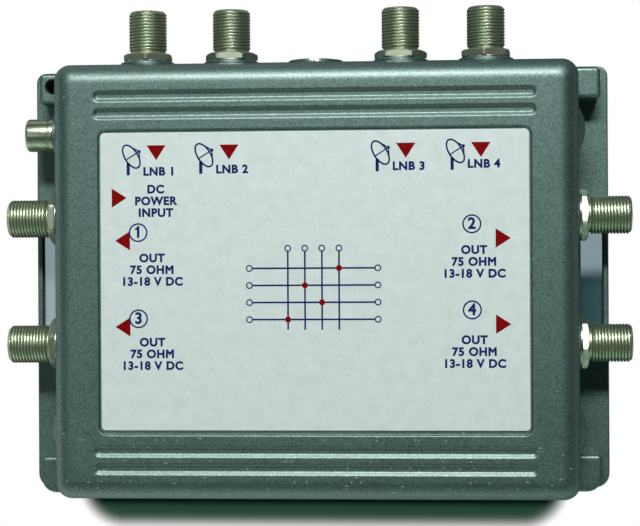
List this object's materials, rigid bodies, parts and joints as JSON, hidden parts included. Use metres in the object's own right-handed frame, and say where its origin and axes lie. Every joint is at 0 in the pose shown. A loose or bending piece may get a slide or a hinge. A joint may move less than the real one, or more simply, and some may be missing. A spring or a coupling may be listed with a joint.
{
  "type": "satellite multiswitch",
  "caption": "Flat die-cast box with threaded coaxial ports along its edges, side mounting flanges and a printed front, which routes dish feeds to receivers.",
  "frame": {"origin": "centre of the casting on its back plane", "axes": "+X right along the front face, +Y up towards the dish ports, +Z out of the front face"},
  "size_m": [0.1572, 0.1231, 0.026],
  "materials": {
    "casting_paint": "satin metallic paint on a die casting",
    "label_film": "satin printed film",
    "cover_steel": "zinc-plated sheet",
    "gasket_rubber": "black foam rubber",
    "screw_steel": "zinc-plated",
    "washer_steel": "nickel-plated",
    "port_nickel": "nickel-plated turned brass",
    "jack_nickel": "nickel-plated turned brass",
    "bead_plastic": "white moulded bead",
    "contact_plating": "plated spring bronze",
    "ground_steel": "nickel-plated",
    "board_laminate": "solder mask on laminate",
    "tinplate": "bright tinplate",
    "chip_plastic": "moulded epoxy",
    "choke_ferrite": "ferrite and resin",
    "capacitor_sleeve": "shrink sleeve"
  },
  "bodies": {
    "casing": {"housing": "casting_paint", "label": "label_film", "rear_cover": "cover_steel", "cover_gasket": "gasket_rubber", "cover_screws": "screw_steel", "port_washers": "washer_steel", "power_jack_shell": "jack_nickel", "power_jack_insulator": "bead_plastic", "power_jack_contact": "contact_plating", "power_jack_nut": "screw_steel", "circuit_board": "board_laminate", "board_screws": "screw_steel", "shield_frame": "tinplate", "shield_lid": "tinplate", "switch_chips": "chip_plastic", "decoder_chips": "chip_plastic", "choke_coils": "choke_ferrite", "filter_capacitors": "capacitor_sleeve", "voltage_regulator": "chip_plastic", "dish_port_1_shell": "port_nickel", "dish_port_1_insulator": "bead_plastic", "dish_port_1_contact": "contact_plating", "dish_port_2_shell": "port_nickel", "dish_port_2_insulator": "bead_plastic", "dish_port_2_contact": "contact_plating", "dish_port_3_shell": "port_nickel", "dish_port_3_insulator": "bead_plastic", "dish_port_3_contact": "contact_plating", "dish_port_4_shell": "port_nickel", "dish_port_4_insulator": "bead_plastic", "dish_port_4_contact": "contact_plating", "receiver_port_1_shell": "port_nickel", "receiver_port_1_insulator": "bead_plastic", "receiver_port_1_contact": "contact_plating", "receiver_port_2_shell": "port_nickel", "receiver_port_2_insulator": "bead_plastic", "receiver_port_2_contact": "contact_plating", "receiver_port_3_shell": "port_nickel", "receiver_port_3_insulator": "bead_plastic", "receiver_port_3_contact": "contact_plating", "receiver_port_4_shell": "port_nickel", "receiver_port_4_insulator": "bead_plastic", "receiver_port_4_contact": "contact_plating"},
    "terminal_washer": {"ground_washer": "washer_steel"},
    "terminal_screw": {"ground_screw": "ground_steel"}
  },
  "joints": [
    {"name": "terminal_lift", "type": "slide", "parent": "casing", "child": "terminal_washer", "axis": [0, 1, 0], "range_m": [0, 0.003]},
    {"name": "terminal_turn", "type": "hinge", "parent": "terminal_washer", "child": "terminal_screw", "pos_m": [0, 0.05226, 0.013], "axis": [0, 1, 0], "range_deg": [0, 1440]}
  ],
  "couplings": [
    {"joint": "terminal_turn", "follows": "terminal_lift", "rad_per_m": 7854}
  ]
}
